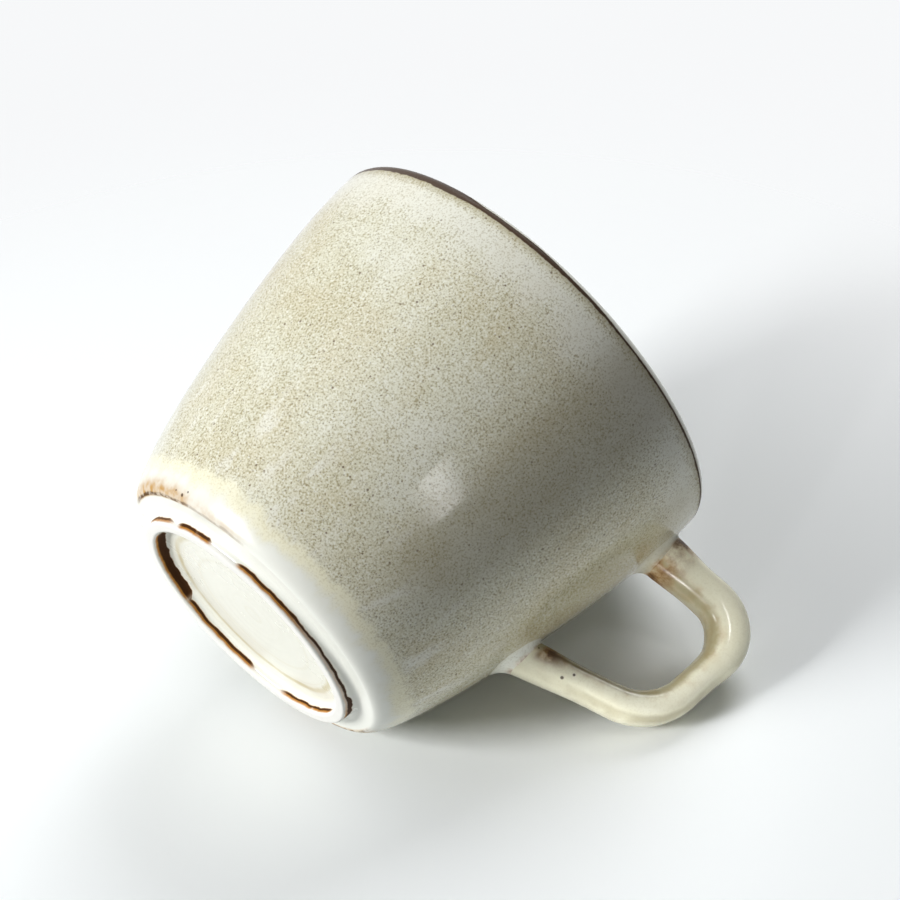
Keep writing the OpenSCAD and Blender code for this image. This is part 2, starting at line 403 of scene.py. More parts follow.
class Wire:
    """A node's output that takes part in Python sums: each operator adds a maths node."""

    def __init__(self, graph, socket):
        self.graph = graph
        self.socket = socket

    def out(self, name):
        """Another output of the same node."""
        return Wire(self.graph, self.socket.node.outputs[name])

    def sum(self, operation, first, second):
        """A Math node, or a Vector Math node where a vector takes part."""
        sides = (first, second)
        if any(isinstance(v, Wire) and v.socket.type == "VECTOR" for v in sides):
            if operation == "MULTIPLY" and any(self.is_number(v) for v in sides):
                number, vector = sorted(sides, key=self.is_number, reverse=True)
                links = {"Vector": vector, "Scale": number}
                return self.graph.node("ShaderNodeVectorMath", links, operation="SCALE")
            kind = "ShaderNodeVectorMath"
        else:
            kind = "ShaderNodeMath"
        return self.graph.node(kind, {0: first, 1: second}, operation=operation)

    @staticmethod
    def is_number(value):
        """Whether a value is a number or a number's wire, and not a vector."""
        if isinstance(value, Wire):
            return value.socket.type != "VECTOR"
        return isinstance(value, (int, float))

    def __add__(self, other):
        return self.sum("ADD", self, other)

    def __radd__(self, other):
        return self.sum("ADD", other, self)

    def __sub__(self, other):
        return self.sum("SUBTRACT", self, other)

    def __rsub__(self, other):
        return self.sum("SUBTRACT", other, self)

    def __mul__(self, other):
        return self.sum("MULTIPLY", self, other)

    def __rmul__(self, other):
        return self.sum("MULTIPLY", other, self)

    def __truediv__(self, other):
        return self.sum("DIVIDE", self, other)

    def __rtruediv__(self, other):
        return self.sum("DIVIDE", other, self)

    def __pow__(self, other):
        return self.sum("POWER", self, other)

    def __neg__(self):
        return self * -1

    def __abs__(self):
        return self.graph.calc("ABSOLUTE", self)


class Graph:
    """A node tree with one method that adds any node, and short forms of the common ones."""

    SOCKETS = {
        "geometry": "NodeSocketGeometry",
        "number": "NodeSocketFloat",
        "count": "NodeSocketInt",
        "vector": "NodeSocketVector",
        "material": "NodeSocketMaterial",
    }

    def __init__(self, tree):
        self.tree = tree

    def node(self, kind, links=None, **settings):
        """Adds a node: its settings are set first, then its sockets get values or wires."""
        made = self.tree.nodes.new(kind)
        for name, value in settings.items():
            setattr(made, name, value)
        for name, value in (links or {}).items():
            self.feed(made.inputs[name], value)
        shown = [s for s in made.outputs if s.enabled]
        return Wire(self, shown[0]) if shown else made

    def feed(self, socket, value):
        """Links a wire to a socket, or sets the socket's value."""
        if isinstance(value, Wire):
            self.tree.links.new(value.socket, socket)
        elif socket.type == "RGBA" and len(value) == 3:
            socket.default_value = (*value, 1)
        else:
            socket.default_value = value

    def entry(self, name, kind):
        """A named input of a geometry tree."""
        self.tree.interface.new_socket(name, in_out="INPUT", socket_type=self.SOCKETS[kind])
        found = [n for n in self.tree.nodes if n.bl_idname == "NodeGroupInput"]
        group = found[0] if found else self.tree.nodes.new("NodeGroupInput")
        return Wire(self, group.outputs[name])

    def numbers(self, *names):
        """Named number inputs of a geometry tree."""
        return [self.entry(name, "number") for name in names]

    def circle(self, points, radius):
        """A round curve."""
        links = {"Resolution": points, "Radius": radius}
        return self.node("GeometryNodeCurvePrimitiveCircle", links, mode="RADIUS")

    def mark(self, geometry, name, value):
        """Geometry whose points keep a number under a name."""
        links = {"Geometry": geometry, "Name": name, "Value": value}
        kind = "GeometryNodeStoreNamedAttribute"
        return self.node(kind, links, data_type="FLOAT", domain="POINT")

    def result(self, geometry, material):
        """Ends a geometry tree in a smooth mesh of one material."""
        soft = self.node("GeometryNodeSetShadeSmooth", {"Geometry": geometry})
        whole = self.node("GeometryNodeRealizeInstances", {"Geometry": soft})
        links = {"Geometry": whole, "Material": material}
        glazed = self.node("GeometryNodeSetMaterial", links)
        kind = self.SOCKETS["geometry"]
        self.tree.interface.new_socket("Geometry", in_out="OUTPUT", socket_type=kind)
        self.node("NodeGroupOutput", {"Geometry": glazed})

    def calc(self, operation, *values):
        """A Math node by its operation."""
        return self.node("ShaderNodeMath", dict(enumerate(values)), operation=operation)

    def most(self, first, *others):
        """The largest of some values."""
        for other in others:
            first = self.calc("MAXIMUM", first, other)
        return first

    def parts(self, vector):
        """The x, y and z of a vector."""
        split = self.node("ShaderNodeSeparateXYZ", {"Vector": vector})
        return [split.out(axis) for axis in "XYZ"]

    def vector(self, x, y, z):
        """A vector from three values."""
        return self.node("ShaderNodeCombineXYZ", {"X": x, "Y": y, "Z": z})

    def dot(self, a, b):
        """The dot product of two vectors."""
        made = self.node("ShaderNodeVectorMath", {0: a, 1: b}, operation="DOT_PRODUCT")
        return made.out("Value")

    def step(self, value, low, high):
        """0 below low, 1 above high, and a smooth change between; low may be the larger one."""
        links = {"Value": value, "From Min": low, "From Max": high}
        return self.node("ShaderNodeMapRange", links, interpolation_type="SMOOTHSTEP")

    def band(self, value, rise, fall):
        """1 between a rise and a fall, each given as its places at 0 and at 1."""
        return self.step(value, *rise) * self.step(value, *fall)

    def noise(self, vector, scale, detail=2.0, roughness=0.5, seed=0.0):
        """Cloudy noise from 0 to 1."""
        links = {"Vector": vector, "W": seed, "Scale": scale}
        links |= {"Detail": detail, "Roughness": roughness}
        return self.node("ShaderNodeTexNoise", links, noise_dimensions="4D")

    def tint(self, share, a, b):
        """The colour a, with the share of it replaced by the colour b."""
        mixer = self.tree.nodes.new("ShaderNodeMix")
        mixer.data_type = "RGBA"
        for name, value in (("Factor_Float", share), ("A_Color", a), ("B_Color", b)):
            self.feed(next(s for s in mixer.inputs if s.identifier == name), value)
        return Wire(self, next(s for s in mixer.outputs if s.identifier == "Result_Color"))


def empty_tree(owner):
    """The node tree of a material or a world, without its first nodes."""
    owner.use_nodes = True
    owner.node_tree.nodes.clear()
    return owner.node_tree


def add_object(name, data):
    """A new object in the scene."""
    made = bpy.data.objects.new(name, data)
    bpy.context.scene.collection.objects.link(made)
    return made


def add_solid(name, made, material):
    """A new object from a finished bmesh, in one material."""
    mesh = bpy.data.meshes.new(name)
    made.to_mesh(mesh)
    made.free()
    mesh.materials.append(material)
    return add_object(name, mesh)


def dress(piece, tree, values):
    """Runs a geometry tree on a piece with its inputs set by name, and keeps a plain mesh."""
    modifier = piece.modifiers.new("shape", "NODES")
    modifier.node_group = tree
    for item in tree.interface.items_tree:
        if item.in_out == "INPUT" and item.name in values:
            modifier[item.identifier] = values[item.name]
    bpy.context.view_layer.update()
    shaped = piece.evaluated_get(bpy.context.evaluated_depsgraph_get())
    mesh = bpy.data.meshes.new_from_object(shaped)
    if not mesh.polygons:
        raise RuntimeError(f"the tree of {piece.name} made no faces")
    piece.modifiers.clear()
    piece.data = mesh
    mesh.name = piece.name


def line_piece(name, points, attributes=None):
    """An object whose mesh is one line through points, with number or vector attributes."""
    mesh = bpy.data.meshes.new(name)
    mesh.from_pydata(points, [(i, i + 1) for i in range(len(points) - 1)], [])
    for label, values in (attributes or {}).items():
        if isinstance(values[0], float):
            mesh.attributes.new(label, "FLOAT", "POINT").data.foreach_set("value", values)
        else:
            flat = [number for value in values for number in value]
            mesh.attributes.new(label, "FLOAT_VECTOR", "POINT").data.foreach_set("vector", flat)
    return add_object(name, mesh)


def bowl_tree():
    """Turns an outline round the axis, then adds a thrown pot's unevenness and the glaze's edge."""
    graph = Graph(bpy.data.node_groups.new("bowl turned from its outline", "GeometryNodeTree"))
    outline = graph.entry("Outline", "geometry")
    steps = graph.entry("Turn Steps", "count")
    hub, wobble, seed = graph.numbers("Hub Radius", "Wobble", "Seed")
    edge, waver, bead = graph.numbers("Glaze Edge", "Edge Waver", "Bead")
    ring_pitch, ring_depth, ring_reach = graph.numbers(
        "Tool Ring Pitch", "Tool Ring Depth", "Tool Ring Reach"
    )
    heel, foot_out, foot_in = graph.numbers("Heel Height", "Foot Outside", "Foot Inside")
    material = graph.entry("Material", "material")

    circle = graph.circle(steps, hub)
    profile = graph.node("GeometryNodeMeshToCurve", {"Mesh": outline})
    turned = graph.node("GeometryNodeCurveToMesh", {"Curve": circle, "Profile Curve": profile})
    closed = graph.node("GeometryNodeMergeByDistance", {"Geometry": turned, "Distance": WELD})
    facing = graph.node("GeometryNodeFlipFaces", {"Mesh": closed})

    place = graph.node("GeometryNodeInputPosition")
    x, y, z = graph.parts(place)
    radius = (x * x + y * y) ** 0.5
    flat = graph.vector(x, y, 0.0)
    stray = (graph.noise(place, 24.0, 1.0, seed=seed) - 0.5) * 2 * wobble
    stray = stray * graph.step(z, heel, heel + 10 * MM)
    reach = z - edge - (graph.noise(flat, 330.0, 2.0, seed=seed) - 0.5) * 2 * waver
    reach = reach + graph.most(radius - foot_out, 0.0) + graph.most(foot_in - radius, 0.0)
    low = graph.step(z, heel + 0.4 * MM, heel)
    roll = graph.band(reach, (0.0, 0.2 * MM), (1.4 * MM, 0.3 * MM)) * low * bead
    rings = graph.calc("SINE", radius * (2 * math.pi) / ring_pitch) * ring_depth
    rings = rings * graph.step(radius, ring_reach, ring_reach - 2 * MM) * low
    normal = graph.node("GeometryNodeInputNormal")
    links = {"Geometry": facing, "Offset": normal * (stray + roll + rings)}
    moved = graph.node("GeometryNodeSetPosition", links)
    graph.result(graph.mark(moved, "glaze_reach", reach), material)
    return graph.tree


def strap_tree():
    """Sweeps a rounded section along a line at the line's thickness, both ends cut to the wall."""
    graph = Graph(bpy.data.node_groups.new("strap along its line", "GeometryNodeTree"))
    line = graph.entry("Line", "geometry")
    sides = graph.entry("Sides", "count")
    width, power, slip, fit = graph.numbers("Width", "Section Power", "Slip", "Fit Length")
    unevenness, seed = graph.numbers("Unevenness", "Seed")
    ends = []
    for end in ("Upper", "Lower"):
        way, out = [graph.entry(f"{end} {name}", "vector") for name in ("Way", "Wall Out")]
        ends.append((way, out, graph.entry(f"{end} Wall Radius", "number")))
    material = graph.entry("Material", "material")

    def own(name, kind):
        return graph.node("GeometryNodeInputNamedAttribute", {"Name": name}, data_type=kind)

    place = graph.node("GeometryNodeInputPosition")
    circle = graph.circle(sides, 1.0)
    u, v, _ = graph.parts(place)

    def squared(value):
        return graph.calc("SIGN", value) * abs(value) ** (2 / power)

    edge = graph.vector(squared(u) * width * 0.5, squared(v) * 0.5, 0.0)
    square = graph.node("GeometryNodeSetPosition", {"Geometry": circle, "Position": edge})
    marked = graph.mark(square, "finger_side", v * 2)
    path = graph.node("GeometryNodeMeshToCurve", {"Mesh": line})
    links = {"Curve": path, "Profile Curve": marked, "Fill Caps": True}
    swept = graph.node("GeometryNodeCurveToMesh", links)
    spine = own("spine", "FLOAT_VECTOR")
    off_x, off_y, off_z = graph.parts(place - spine)
    flat = graph.vector(off_x, 0.0, off_z) * own("thickness", "FLOAT")
    shape = spine + flat + graph.vector(0.0, off_y, 0.0)
    for (way, out, radius), distance in zip(ends, ("from_upper", "from_lower")):
        fall = off_y * off_y * graph.dot(out, (1, 0, 0)) / (2 * radius)
        shift = (slip - graph.dot(flat, out) - fall) / graph.dot(way, out)
        share = graph.most(1 - own(distance, "FLOAT") / fit, 0.0)
        shape = shape + way * (shift * share)
    formed = graph.node("GeometryNodeSetPosition", {"Geometry": swept, "Position": shape})
    uneven = (graph.noise(place, 90.0, 1.0, seed=seed) - 0.5) * 2 * unevenness
    normal = graph.node("GeometryNodeInputNormal")
    links = {"Geometry": formed, "Offset": normal * uneven}
    graph.result(graph.node("GeometryNodeSetPosition", links), material)
    return graph.tree


# Materials


class Glaze(Graph):
    """A material of glaze in layers, with specks of iron."""

    IOR = 1.52
    DULL_ROUGHNESS = 0.7
    DULL_GLOSS = 0.06

    def __init__(self, name, colours):
        self.material = bpy.data.materials.new(name)
        super().__init__(empty_tree(self.material))
        self.colours = colours
        self.place = self.node("ShaderNodeTexCoord").out("Object")
        self.x, self.y, self.z = self.parts(self.place)
        self.radius = (self.x * self.x + self.y * self.y) ** 0.5

    def own(self, name):
        """A number that the mesh keeps at each point."""
        return self.node("ShaderNodeAttribute", attribute_name=name).out("Fac")

    def around(self, degrees, half, soft):
        """1 within half a stretch about an angle round the axis, fading over soft, in degrees."""
        angle = math.radians(degrees)
        towards = (math.cos(angle), math.sin(angle), 0)
        cosine = self.dot(self.place, towards) / self.radius
        far = math.cos(math.radians(min(half + soft, 180)))
        near = math.cos(math.radians(max(half - soft, 0)))
        return self.step(cosine, far, near)

    def specks(self, cell, size, seed):
        """Dots of about a size, one at most in each cell, both in metres."""
        moved = self.place + (seed * cell, seed * cell, seed * cell)
        links = {"Vector": moved, "Scale": 1 / cell}
        dots = self.node("ShaderNodeTexVoronoi", links, feature="F1")
        split = self.node("ShaderNodeSeparateColor", {"Color": dots.out("Color")})
        radius = split * (size / cell)
        return self.step(dots.out("Distance"), radius, radius * 0.45)

    def spot(self, point, radius):
        """A round mark about a point."""
        away = self.node("ShaderNodeVectorMath", {0: self.place, 1: point}, operation="DISTANCE")
        return self.step(away.out("Value"), radius, radius * 0.6)

    def layers(self, shade, *layers):
        """A colour under more layers, each one a share and a colour."""
        for share, over in layers:
            shade = self.tint(share, shade, over)
        return shade

    def coat(self, thin, milky, speckled):
        """Colour of the glaze: thin shows the clay through, milky is pooled, speckled has iron."""
        c = self.colours
        grain = self.noise(self.place, 2600.0, 1.0, 0.6)
        fine = self.specks(0.56 * MM, 0.24 * MM, 1.0) * 0.5
        bold = self.specks(1.9 * MM, 0.32 * MM, 5.0) * 0.88
        iron = self.most(fine, bold) * speckled
        shade = self.layers(
            c.stone,
            (thin, c.straw),
            (milky, c.milk),
            (self.step(grain, 0.48, 0.70) * speckled * 0.8, c.olive),
            (self.step(grain, 0.48, 0.30) * speckled * 0.6, c.milk),
            (iron, c.speck),
        )
        return shade, iron

    def finish(self, colour, roughness, height, depth, dull):
        """Ends in a glossy shader with a bump of a depth in metres, and less gloss where dull."""
        links = {"Strength": 1.0, "Distance": depth, "Height": height}
        common = {"Base Color": colour, "Normal": self.node("ShaderNodeBump", links)}
        links = {**common, "Roughness": roughness, "IOR": self.IOR}
        glossy = self.node("ShaderNodeBsdfPrincipled", links)
        links = {**common, "Roughness": self.DULL_ROUGHNESS, "Specular IOR Level": self.DULL_GLOSS}
        matt = self.node("ShaderNodeBsdfPrincipled", links)
        shader = self.node("ShaderNodeMixShader", {0: dull, 1: glossy, 2: matt})
        self.node("ShaderNodeOutputMaterial", {"Surface": shader})
        return self.material


# Depth of the fired surface's slight waves
BODY_PEEL = 0.015 * MM
STRAP_PEEL = 0.012 * MM
SLIP_PEEL = 0.06 * MM
# Stretches of the lip where the break is wider: middle, half length and fade in degrees round the
# axis, then how far its middle and its edges move, in radians round the lip
LIP_BREAKS = (
    (216, 22, 8, 0.31, 0.53),
    (250, 14, 8, 0.14, 0.21),
    (272, 10, 8, 0.12, 0.10),
    (80, 60, 30, 0.15, 0.18),
)
# Stretches of the foot's edges where the glaze broke brown: middle, half length and fade in
# degrees round the axis, then strength and width
OUTER_BREAKS = (
    (202, 11, 4, 0.9, 0.60 * MM),
    (230, 10, 2, 1.0, 0.90 * MM),
    (308, 52, 2, 1.0, 0.68 * MM),
    (350, 12, 4, 1.0, 1.30 * MM),
    (75, 30, 12, 0.8, 0.50 * MM),
)
INNER_BREAKS = (
    (152, 29, 3, 1.0, 2.10 * MM),
    (100, 23, 3, 1.0, 0.72 * MM),
    (33, 23, 4, 1.0, 0.55 * MM),
    (262, 34, 12, 0.7, 0.50 * MM),
)
# The same on the heel's edge, without a width
HEEL_BREAKS = ((205, 22, 8, 1.0), (238, 14, 8, 0.4), (40, 28, 14, 0.8))
# Where the foot's iron bled less, then two olive stretches of the wall that are painted shade: the
# core shadow where the wall turns from the key light, and the shade beside the strap between its
# roots
FAINT_BLEED = (322, 26, 14)
PAINTED_CORE_SHADE = (301, 6, 11)
PAINTED_STRAP_SHADE = (352, 10, 13)
# Drops of iron above the heel's edge: degrees round the axis, radius, height and size
HEEL_DROPS = (
    (224.1, 30.55 * MM, 3.73 * MM, 0.40 * MM),
    (226.5, 31.10 * MM, 4.50 * MM, 0.25 * MM),
    (220.2, 30.76 * MM, 4.01 * MM, 0.22 * MM),
    (52.0, 30.70 * MM, 3.95 * MM, 0.35 * MM),
)
# Drops of iron on the strap's sides: a point and its size
STRAP_DROPS = (
    ((48.07 * MM, -4.4 * MM, 33.06 * MM), 0.50 * MM),
    ((49.26 * MM, -4.4 * MM, 35.04 * MM), 0.35 * MM),
    ((63.5 * MM, 4.4 * MM, 55.0 * MM), 0.45 * MM),
)


def lip_marks(mat, bowl):
    """The break at the lip's outer corner, the thin and pale glaze beside it, and how dull it is.

    They go by the angle round the lip's middle.
    """
    top = bowl.sizes.height
    lip = bowl.lip_centre
    turn = mat.calc("ARCTAN2", mat.z - lip.y, mat.radius - lip.x)
    ragged = mat.noise(mat.place, 420.0, 3.0, 0.65, seed=4.0) - 0.5
    swell = mat.noise(mat.place, 46.0, 2.0, seed=6.0) - 0.5
    offset = turn - 0.10 + swell * 0.1
    half = 0.12
    for degrees, stretch, soft, lift, more in LIP_BREAKS:
        here = mat.around(degrees, stretch, soft)
        offset = offset - here * lift
        half = half + here * more
    under = -half + ragged * 0.4
    at_lip = mat.step(mat.z, top - 4.5 * MM, top - 3 * MM)
    broken = mat.band(offset, (under - 0.08, under + 0.04), (half + 0.04, half - 0.06)) * at_lip
    halo = mat.band(offset, (under - 0.8, under), (0.0, -0.15)) * at_lip * 0.5
    pale = mat.step(offset, half - 0.05, half + 0.1) * at_lip * 0.8
    widest = mat.around(*LIP_BREAKS[0][:3])
    return broken, halo, pale, broken * (0.9 - widest * 0.5)


def foot_marks(mat, bowl, blotch):
    """The bare standing face, and where the glaze's edges beside it bled and broke."""
    reach = mat.own("glaze_reach") + (mat.noise(mat.place, 900.0, 2.0) - 0.5) * (0.2 * MM)
    outside = mat.step(mat.radius, bowl.foot_r - 1.2 * MM, bowl.foot_r - 0.8 * MM)
    strength = 0.0
    width = 0.0
    for stretches, side in ((OUTER_BREAKS, outside), (INNER_BREAKS, 1 - outside)):
        for degrees, stretch, soft, level, broad in stretches:
            here = mat.around(degrees, stretch, soft) * side
            strength = mat.most(strength, here * level)
            width = mat.most(width, here * broad)
    strength = strength * mat.step(blotch, 0.12, 0.30)
    width = width * (0.5 + blotch)
    bare = mat.step(reach, 0.05 * MM, -0.05 * MM)
    bled = mat.band(reach, (-0.6 * MM, -0.1 * MM), (width + 0.3 * MM, width))
    bled = bled * strength * (1 - mat.around(*FAINT_BLEED) * 0.6)
    warm_edge = mat.calc("MINIMUM", width * 0.5, 0.4 * MM)
    broken = mat.band(reach, (-0.1 * MM, warm_edge), (width + 0.15 * MM, width))
    return bare, bled, broken * strength


def heel_marks(mat, bowl, blotch):
    """The stain along the heel's edge, and its break with drops of iron above."""
    zone = 0.0
    for degrees, stretch, soft, level in HEEL_BREAKS:
        zone = mat.most(zone, mat.around(degrees, stretch, soft) * level)
    zone = zone * mat.step(mat.radius, bowl.heel_r - 0.5 * MM, bowl.heel_r)
    off = mat.radius - bowl.heel_r - 0.3 * MM + (blotch - 0.5) * (0.8 * MM)
    spotted = mat.noise(mat.place, 520.0, 2.0, 0.6, seed=7.0)
    stain = mat.step(off, 2.6 * MM, 0.8 * MM) * zone * (0.55 + mat.step(spotted, 0.35, 0.65) * 0.45)
    line = mat.step(abs(off), 0.45 * MM, 0.15 * MM) * zone
    broken = line * mat.step(spotted, 0.30, 0.55)
    for degrees, radius, rise, size in HEEL_DROPS:
        angle = math.radians(degrees)
        drop = mat.spot((radius * math.cos(angle), radius * math.sin(angle), rise), size)
        broken = mat.most(broken, drop)
    return stain, broken


def recess_rings(mat, bowl, patch):
    """Thinner glaze in the recess, on the rings that the turning tool left."""
    depth = bowl.sizes.recess_h
    recess = mat.step(mat.z, depth + 1 * MM, depth + 0.5 * MM)
    recess = recess * mat.step(mat.radius, bowl.foot_in_r, bowl.foot_in_r - 1 * MM)
    tooled = mat.noise(mat.vector(mat.radius, 0.0, 0.0), 420.0, 3.0, 0.7, seed=1.0)
    off = mat.radius - bowl.foot_in_r + 3.6 * MM + (patch - 0.5) * (1.2 * MM)
    ring = mat.step(abs(off), 1 * MM, 0.1 * MM) * patch * 1.5
    return recess * (0.20 + mat.step(tooled, 0.48, 0.7) * 0.2 + ring)


def body_glaze(colours, bowl):
    """Speckled glaze that pools white at heel and rim and breaks brown at the lip and the foot."""
    mat = Glaze("speckled stone glaze", colours)
    c = colours
    z = mat.z
    top = bowl.sizes.height
    heel = bowl.sizes.foot_h
    cloud = mat.noise(mat.place, 38.0, 4.0, 0.55, seed=3.0)
    patch = mat.noise(mat.place, 120.0, 3.0, 0.6, seed=8.0)
    runs = mat.noise(mat.vector(mat.x, mat.y, z * 0.1), 260.0, 3.0, 0.6, seed=2.0)
    blotch = mat.noise(mat.place, 300.0, 2.0, seed=9.0)
    fray = (patch - 0.5) * (5 * MM) + (runs - 0.5) * (5 * MM)
    frayed = z + fray

    heel_pool = mat.step(frayed, heel + 8.5 * MM, heel + 0.8 * MM)
    rim_pool = mat.step(z + fray * 2.5, top - 15 * MM, top - 5 * MM)
    rim_pool = rim_pool * mat.step(z, top - 1.2 * MM, top - 4.5 * MM) * 0.6
    pale_runs = mat.step(runs, 0.50, 0.72) * mat.step(z, 50 * MM, 14 * MM) * 0.75
    pooled = mat.most(heel_pool, rim_pool)
    milky = mat.most(pooled, mat.step(cloud, 0.50, 0.30) * 0.5, pale_runs)
    thin = mat.step(cloud * 0.65 + patch * 0.2 + runs * 0.25, 0.46, 0.74)
    speckled = mat.step(cloud + patch * 0.4, 0.42, 0.72) * 0.4 + 0.6
    speckled = speckled * mat.step(pooled, 0.95, 0.25) * (1 - pale_runs * 0.5)
    shade, iron = mat.coat(thin, milky, speckled)

    # Painted shade: a darker olive band where the wall turns away from the key light
    core_shade = mat.around(*PAINTED_CORE_SHADE) * mat.step(frayed, 10 * MM, 24 * MM) * (0.15 + patch * 0.5)
    # Painted shade: darker olive on the wall beside the strap, between its roots
    strap_shade = mat.around(*PAINTED_STRAP_SHADE) * mat.step(frayed, 22 * MM, 34 * MM) * (0.05 + patch * 0.6)
    pool_edge = mat.band(heel_pool, (0.05, 0.4), (0.95, 0.5))
    lip_break, lip_halo, lip_pale, lip_dull = lip_marks(mat, bowl)
    bare, bled, foot_break = foot_marks(mat, bowl, blotch)
    heel_stain, heel_break = heel_marks(mat, bowl, blotch)
    shade = mat.layers(
        shade,
        (mat.most(core_shade, strap_shade), c.olive),
        (pool_edge * 0.6, c.cream),
        (recess_rings(mat, bowl, patch), c.straw),
        (lip_pale, c.milk),
        (lip_halo, c.olive),
        (lip_break * 0.95, c.umber),
        (heel_stain * 0.9, c.amber),
        (heel_break * 0.85, c.umber),
        (bare, c.clay),
        (bled * 0.95, c.rust),
        (foot_break * 0.97, c.umber),
    )

    roughness = 0.10 + thin * 0.04 + heel_pool * 0.15 + lip_break * 0.15 + bare * 0.35
    peel = mat.noise(mat.place, 480.0, 2.0)
    height = peel * 0.6 - iron * 1.5 + bare * mat.noise(mat.place, 3500.0, 2.0) * 4
    dull = mat.most(foot_break, bled, lip_dull, heel_stain, bare)
    return mat.finish(shade, roughness, height, BODY_PEEL, dull)


def handle_glaze(colours):
    """Creamy glaze that thins to olive on the finger's side and breaks brown at the roots, with
    painted shade at the upper root.
    """
    mat = Glaze("creamy strap glaze", colours)
    c = colours
    finger = mat.own("finger_side")
    upper = mat.own("from_upper")
    lower = mat.own("from_lower")
    cloud = mat.noise(mat.place, 70.0, 3.0, 0.55, seed=5.0)
    patch = mat.noise(mat.place, 260.0, 3.0, 0.6, seed=6.0)
    stain = mat.noise(mat.place, 330.0, 4.0, 0.65, seed=2.0)
    uneven = (cloud - 0.5) * 0.9 + (patch - 0.5) * 0.6
    thin = mat.step(patch, 0.5, 0.8) * 0.4
    milky = mat.step(cloud, 0.30, 0.65) * 0.6 + 0.2
    shade, iron = mat.coat(thin, milky, 0.25)

    veil = mat.step(patch * 0.5 + cloud * 0.5, 0.46, 0.66) * 0.3
    warm = mat.step(finger + uneven * 0.9, -0.1, 0.6) * mat.step(patch, 0.38, 0.62) * 0.32
    inner = mat.step(abs(finger - 0.72 + uneven * 0.6), 0.45, 0.05)
    inner = mat.most(inner, mat.step(finger, 0.7, 1.0) * 0.7)
    outer = mat.step(abs(finger + 0.80 + uneven * 0.4), 0.28, 0.05) * mat.step(cloud, 0.32, 0.60)
    # Iron stain at the upper root, partly painted shade: it reaches up to the slip and across the
    # whole face
    upper_stain_and_shade = mat.band(upper, (-0.6 * MM, 0.6 * MM), (8 * MM, 2 * MM))
    at_edges = mat.step(abs(finger + 0.05), 0.05, 0.55)
    upper_stain_and_shade = upper_stain_and_shade * (0.45 + at_edges * 0.55)
    at_lower = mat.band(lower, (1.2 * MM, 2.8 * MM), (10 * MM, 3.5 * MM))
    at_lower = at_lower * mat.step(finger, -0.35, 0.35)
    root = mat.most(upper_stain_and_shade, at_lower)
    spots = mat.specks(9 * MM, 0.5 * MM, 3.0)
    for point, size in STRAP_DROPS:
        spots = mat.most(spots, mat.spot(point, size))
    shade = mat.layers(
        shade,
        (0.55, c.cream),
        (veil, c.straw),
        (warm, c.amber),
        (mat.most(inner * 0.75, outer * 0.55), c.olive),
        # Rust and umber at the roots; at the upper root they are partly painted shade
        (mat.step(stain, 0.28, 0.58) * root * 0.7, c.rust),
        (mat.step(stain, 0.36, 0.64) * root * 0.85, c.umber),
        (spots * 0.9, c.umber),
    )

    peel = mat.noise(mat.place, 420.0, 2.0)
    roughness = 0.13 + inner * 0.10 + root * 0.08
    return mat.finish(shade, roughness, peel * 0.6 - iron * 0.4, STRAP_PEEL, root * 0.5)


def joint_glaze(colours):
    """Pale glaze that pooled in the fillets, with painted shade on the upper one, and iron by the
    strap.
    """
    mat = Glaze("pooled fillet glaze", colours)
    c = colours
    climb = mat.own("fillet_climb")
    cloud = mat.noise(mat.place, 160.0, 3.0, 0.6, seed=4.0)
    stain = mat.noise(mat.place, 330.0, 4.0, 0.65, seed=2.0)
    thin = mat.step(cloud, 0.45, 0.8) * 0.4
    milky = mat.step(climb, 0.0, 0.4) * 0.6 + 0.15
    shade, iron = mat.coat(thin, milky, 0.3)

    # Painted shade on the upper slip, which lies in the rim's shadow, darker towards the strap
    upper_shade = mat.step(mat.z, 45 * MM, 55 * MM)
    edge = mat.step(climb, 0.60, 0.95)
    shade = mat.layers(
        shade,
        (upper_shade * (0.35 + mat.step(climb, 0.2, 0.8) * 0.25), c.olive),
        (edge * mat.step(stain, 0.36, 0.62) * 0.6, c.rust),
        (edge * mat.step(stain, 0.48, 0.70) * 0.8, c.umber),
    )

    peel = mat.noise(mat.place, 420.0, 2.0)
    roughness = 0.16 + cloud * 0.08
    return mat.finish(shade, roughness, peel * 0.6 - iron * 0.4, SLIP_PEEL, edge * 0.3)


# Operators


def place_piece(piece, node):
    """Hangs a finished piece on the frame in the place of its node."""
    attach(piece, "root")
    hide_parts(node)


class CUP_OT_bowl(bpy.types.Operator):
    """Turn the bowl with its lip, floor, heel and foot ring"""

    bl_idname = "cup.bowl"
    bl_label = "Bowl"

    TURN_STEPS = 300
    HUB = 10 * MM
    TOOL_RING_PITCH = 2.7 * MM
    TOOL_RING_DEPTH = 0.03 * MM
    SEED = 11.0

    def execute(self, context):
        sizes = context.scene.cup_bowl
        shape = BowlShape(sizes)
        points = [(p.x - self.HUB, -p.y, 0) for p in shape.outline()]
        piece = line_piece("bowl", points)
        dress(
            piece,
            bowl_tree(),
            {
                "Turn Steps": self.TURN_STEPS,
                "Hub Radius": self.HUB,
                "Wobble": sizes.wobble,
                "Seed": self.SEED,
                "Glaze Edge": sizes.glaze_edge,
                "Edge Waver": sizes.edge_waver,
                "Bead": sizes.bead,
                "Tool Ring Pitch": self.TOOL_RING_PITCH,
                "Tool Ring Depth": self.TOOL_RING_DEPTH,
                "Tool Ring Reach": shape.foot_in_r - sizes.recess_cove,
                "Heel Height": sizes.foot_h,
                "Foot Outside": shape.foot_r,
                "Foot Inside": shape.foot_in_r,
                "Material": body_glaze(context.scene.cup_glaze, shape),
            },
        )
        place_piece(piece, "cup_body")
        return {"FINISHED"}


